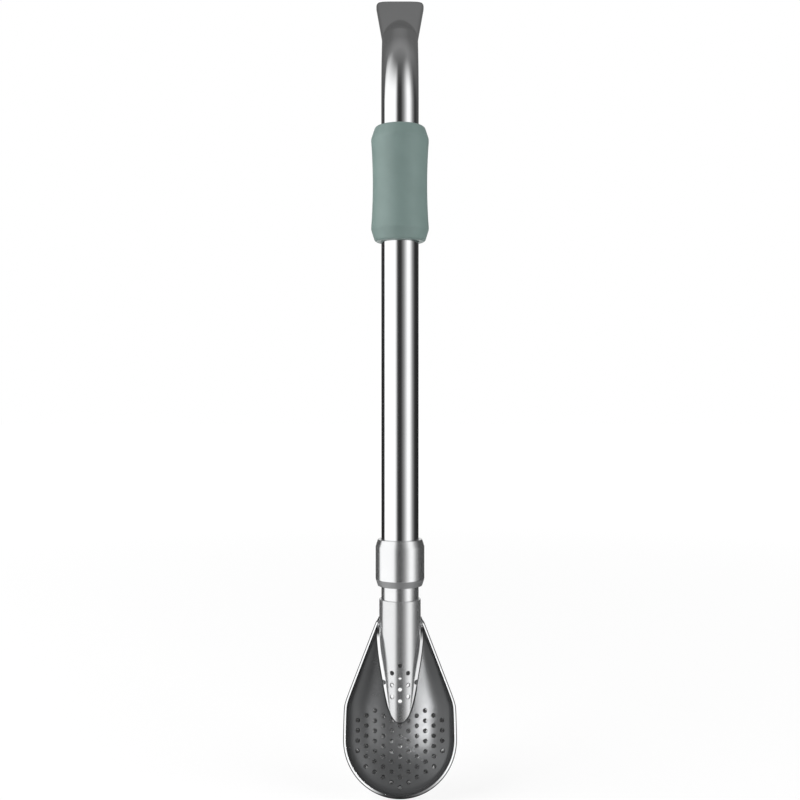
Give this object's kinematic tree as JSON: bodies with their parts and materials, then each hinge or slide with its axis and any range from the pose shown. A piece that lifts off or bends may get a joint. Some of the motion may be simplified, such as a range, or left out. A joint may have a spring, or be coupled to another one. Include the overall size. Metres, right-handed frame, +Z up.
{
  "type": "bombilla mate straw",
  "caption": "Steel mate straw with a bent flattened mouthpiece, a sliding silicone grip and a perforated spoon filter held on by a union nut.",
  "frame": {"origin": "on the stem axis, half way along the bare stem between the nut and the grip, where a cup's rim or a holder carries the straw", "axes": "+Z up along the stem, mouthpiece bent towards +Y, open side of the spoon towards -Y, +X across the spoon"},
  "size_m": [0.0262, 0.0416, 0.1948],
  "materials": {
    "polished_steel": "polished",
    "grip_silicone": "matt moulded silicone",
    "seal_silicone": "matt translucent silicone"
  },
  "bodies": {
    "stem": {"stem_tube": "polished_steel", "mouthpiece": "polished_steel", "retaining_ring": "polished_steel", "seal_ring": "seal_silicone"},
    "grip": {"grip_sleeve": "grip_silicone"},
    "nut": {"union_nut": "polished_steel"},
    "head": {"threaded_neck": "polished_steel", "filter_tube": "polished_steel", "spoon_bowl": "polished_steel", "spoon_back": "polished_steel"}
  },
  "joints": [
    {"name": "grip_slide", "type": "slide", "parent": "stem", "child": "grip", "axis": [0, 0, 1], "range_m": [-0.07, 0.004]},
    {"name": "nut_turn", "type": "hinge", "parent": "stem", "child": "nut", "pos_m": [0, 0, -0.04], "axis": [0, 0, 1], "range_deg": [0, 1440]},
    {"name": "head_slide", "type": "slide", "parent": "stem", "child": "head", "axis": [0, 0, -1], "range_m": [0, 0.00401]}
  ],
  "couplings": [
    {"joint": "head_slide", "follows": "nut_turn", "m_per_rad": 0.00015915}
  ]
}
